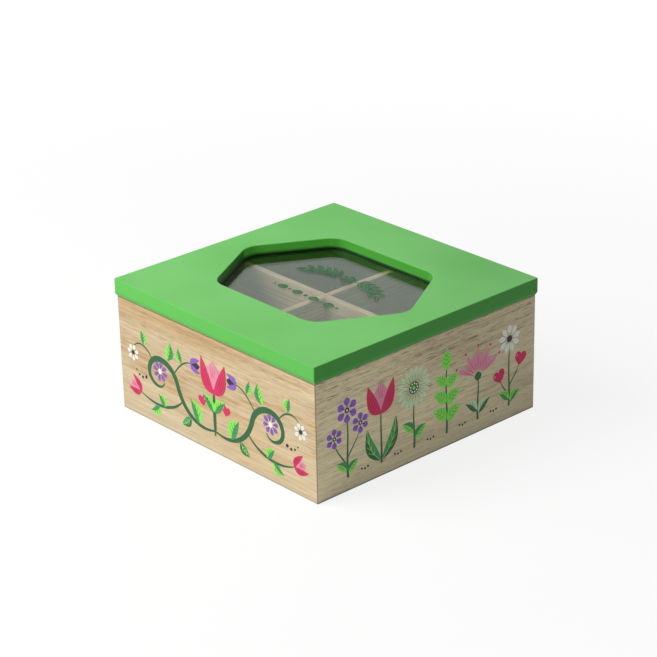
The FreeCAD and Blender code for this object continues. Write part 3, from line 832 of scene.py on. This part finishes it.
def fanSprig(sheet):        # narrow petals, long and short by turns
    stem(sheet, (0, 8), (-1, 18), (1, 26), (0, 33))
    leafPair(sheet, (-0.1, 12), 11.5, 5.2, ("sage", "pine"), vein="green")
    foot = Vector((0, 33.5))
    for index, heading in enumerate(range(30, 151, 15)):
        ahead = arrow(math.radians(heading))
        long = index % 2 == 0
        drop(sheet, "pink", foot + ahead * 3.2, heading, 14.0 if long else 11.2, 3.0, 0.62)
        ray(sheet, "crimson", foot, heading, 4.6, 13.0 if long else 10.0, 0.36)
        if long:
            dot(sheet, "crimson", foot + ahead * 19.0, 0.8)
    drop(sheet, "pine", (0, 31.4), 90, 5.6, 5.4, 1.0)


def heartSprig(sheet):        # a daisy between two hearts
    stem(sheet, (0, 8), (0.8, 18), (-1, 30), (0, 41))
    twig(sheet, (0.2, 14), (-3, 19), (-5.2, 21), (-6.6, 24.4))
    twig(sheet, (-0.2, 20), (4, 25), (6.2, 27), (7.6, 30.4))
    leafPair(sheet, (0.2, 10.5), 9.5, 4.6, ("lime", "green"), vein="pine")
    daisy(sheet, (0, 48.6), 8.4, 9, "white", "plum", 10, 0.28, 0.86, "sage")
    heart(sheet, (-6.8, 24.2), 104, 8.2, "crimson")
    heart(sheet, (7.8, 30.2), 76, 8.2, "crimson")


sprigs = {
    -60: starSprig, -36: tulipSprig, -12: wheelSprig,
    12.5: frondSprig, 36.5: fanSprig, 61: heartSprig,
}


def sideOrnament(sheet):
    places = list(sprigs)
    for sheet.shift in places:
        sheet.restart()
        sprigs[sheet.shift](sheet)
    for before, after in zip(places, places[1:]):
        sheet.restart()
        sheet.shift = (before + after) / 2
        dots(sheet, "plum", [Vector((2.2 * step, 9.0 + 0.6 * abs(step))) for step in (-1, 0, 1)], 0.7, 0.7)


# pane: a garland over a row of leaves, in one dark green

def paneOrnament(sheet):
    pair = ("pine", "pine")
    for sheet.flip in (1, -1):
        bough = cubic(((5.8, 17.4), (12, 19.8), (20, 18.6), (28, 12.0)), 16)
        stroke(sheet, "pine", bough, (0.7, 1.1, 0.5))
        for index in (2, 5, 8, 11, 14):
            run = bough[index + 1] - bough[index]
            lean = math.degrees(math.atan2(run.y, run.x))
            leaf(sheet, bough[index], lean + 44, 6.8, 2.5, pair, 0.08)
            leaf(sheet, bough[index], lean - 44, 6.8, 2.5, pair, -0.08)
        leaf(sheet, bough[-1], -42, 6.4, 2.6, pair, 0.0)
        for step in (0, 1):
            leaf(sheet, (2.8 + 12 * step, -14.5), 0, 8.2, 4.4, pair, 0.0)
            dot(sheet, "pine", (13 + 12 * step, -14.5), 0.9)
    sheet.flip = 1
    daisy(sheet, (0, 17.0), 4.8, 6, "pine", "pine", 30, 0.28, 0.84)
    dot(sheet, "pine", (0, -14.5), 1.3)


faceOf = {
    "front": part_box("front_wall")[0].y,
    "right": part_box("right_wall")[1].x,
    "left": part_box("left_wall")[0].x,
    "pane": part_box("window_pane")[1].z,
}
placeOn = {        # from the face's own millimetres, across, up and outward
    "front": lambda u, v, h: Vector((u * mm, faceOf["front"] - h * mm, v * mm)),
    "right": lambda u, v, h: Vector((faceOf["right"] + h * mm, u * mm, v * mm)),
    "left": lambda u, v, h: Vector((faceOf["left"] - h * mm, -u * mm, v * mm)),
    "pane": lambda u, v, h: Vector((u * mm, v * mm, faceOf["pane"] + h * mm)),
}
prints = (
    ("front", "box", frontOrnament),
    ("right", "box", sideOrnament),
    ("left", "box", sideOrnament),
    ("pane", "lid", paneOrnament),
)
for face, body, ornament in prints:
    printed = Sheet(face + "_print", placeOn[face])
    ornament(printed)
    printed.build(body)
    print(printed.name, "laid in", len(printed.films), "inks,", round(printed.highest, 2), "mm high")


# floor, light and camera

studio = {
    "floorHalf": 4.0, "floorDrop": 0.1 * mm, "floorColour": (0.78, 0.78, 0.78),
    "glow": (0.20, 0.62, 0.825, 1.0),        # the paper turns white away from the object
    "fill": (0.345, 0.362, 0.360), "keyFrom": (-0.36, -0.57, 0.62), "keyAway": 1.05, "keySide": 0.75,
    "keyLevel": 0.95, "keyColour": (1.0, 0.985, 0.955),
}
lens = {
    "length": 123.20, "sensor": 36.0, "azimuth": 48.07, "elevation": 23.97, "roll": 1.26,
    "aim": (0.00017, 0.00159, 0.04773), "away": 1.2452,
}


def seenDirectly(tree):        # camera rays, and glossy or clear ones that met nothing matt on their way
    path = put(tree, "LightPath").outputs
    bright = calc(tree, "MAXIMUM", path["Is Glossy Ray"], path["Is Transmission Ray"])
    first = calc(tree, "LESS_THAN", path["Diffuse Depth"], 0.5)
    return calc(tree, "MAXIMUM", path["Is Camera Ray"], calc(tree, "MULTIPLY", bright, first))


def makeFloor():
    half = studio["floorHalf"]
    mesh = bpy.data.meshes.new("floor")
    corners = [(x * half, y * half, -studio["floorDrop"]) for x, y in ((-1, -1), (1, -1), (1, 1), (-1, 1))]
    mesh.from_pydata(corners, [], [(0, 1, 2, 3)])
    floor = bpy.data.objects.new("floor", mesh)
    bpy.context.scene.collection.objects.link(floor)
    finish, tree, shader = newFinish("floor_paper")
    seen = seenDirectly(tree)
    colour = blendColour(tree, seen, studio["floorColour"], (1.0, 1.0, 1.0))
    tree.links.new(colour, shader.inputs["Base Color"])
    shader.inputs["Roughness"].default_value = 0.9
    shader.inputs["Specular IOR Level"].default_value = 0.0
    white = put(tree, "Emission", {"Color": (1.0, 1.0, 1.0, 1.0), "Strength": 1.0})
    spot = put(tree, "TexCoord").outputs["Object"]
    away = put(tree, "VectorMath", {0: spot}, operation="LENGTH").outputs["Value"]
    glow = span(tree, away, *studio["glow"])
    share = calc(tree, "MULTIPLY", seen, glow)
    paper = put(tree, "MixShader", {0: share, 1: shader.outputs[0], 2: white.outputs[0]})
    below = put(tree, "NewGeometry").outputs["Backfacing"]
    clear = put(tree, "BsdfTransparent")
    both = put(tree, "MixShader", {0: below, 1: paper.outputs[0], 2: clear.outputs[0]})
    tree.links.new(both.outputs[0], tree.nodes["Material Output"].inputs["Surface"])
    mesh.materials.append(finish)


def makeWorld():
    world = bpy.data.worlds.new("studio")
    world.use_nodes = True
    tree = world.node_tree
    fill = tree.nodes["Background"]
    fill.inputs["Color"].default_value = (*studio["fill"], 1.0)
    white = put(tree, "Background", {"Color": (1.0, 1.0, 1.0, 1.0), "Strength": 1.0})
    both = put(tree, "MixShader", {0: seenDirectly(tree), 1: fill.outputs[0], 2: white.outputs[0]})
    tree.links.new(both.outputs[0], tree.nodes["World Output"].inputs["Surface"])
    bpy.context.scene.world = world


def makeKey():
    toward = Vector(studio["keyFrom"]).normalized()
    lamp = bpy.data.lights.new("key", "AREA")
    lamp.shape = "SQUARE"
    lamp.size = studio["keySide"]
    lamp.energy = studio["keyLevel"] * (math.pi * studio["keyAway"]) ** 2
    lamp.color = studio["keyColour"]
    key = bpy.data.objects.new("key", lamp)
    key.location = toward * studio["keyAway"]
    key.rotation_mode = "QUATERNION"
    key.rotation_quaternion = (-toward).to_track_quat("-Z", "Y")
    bpy.context.scene.collection.objects.link(key)


def makeCamera():
    turn, rise = math.radians(lens["azimuth"]), math.radians(lens["elevation"])
    back = Vector((math.sin(turn) * math.cos(rise), -math.cos(turn) * math.cos(rise), math.sin(rise)))
    camera = bpy.data.objects.new("camera", bpy.data.cameras.new("camera"))
    camera.data.lens = lens["length"]
    camera.data.sensor_width = lens["sensor"]
    camera.location = Vector(lens["aim"]) + back * lens["away"]
    camera.rotation_mode = "QUATERNION"
    level = (-back).to_track_quat("-Z", "Y")
    camera.rotation_quaternion = level @ Quaternion((0, 0, 1), -math.radians(lens["roll"]))
    bpy.context.scene.collection.objects.link(camera)
    bpy.context.scene.camera = camera


makeFloor()
makeWorld()
makeKey()
makeCamera()
bpy.context.scene.view_settings.view_transform = "Standard"
print("studio ready")

bpy.context.view_layer.update()
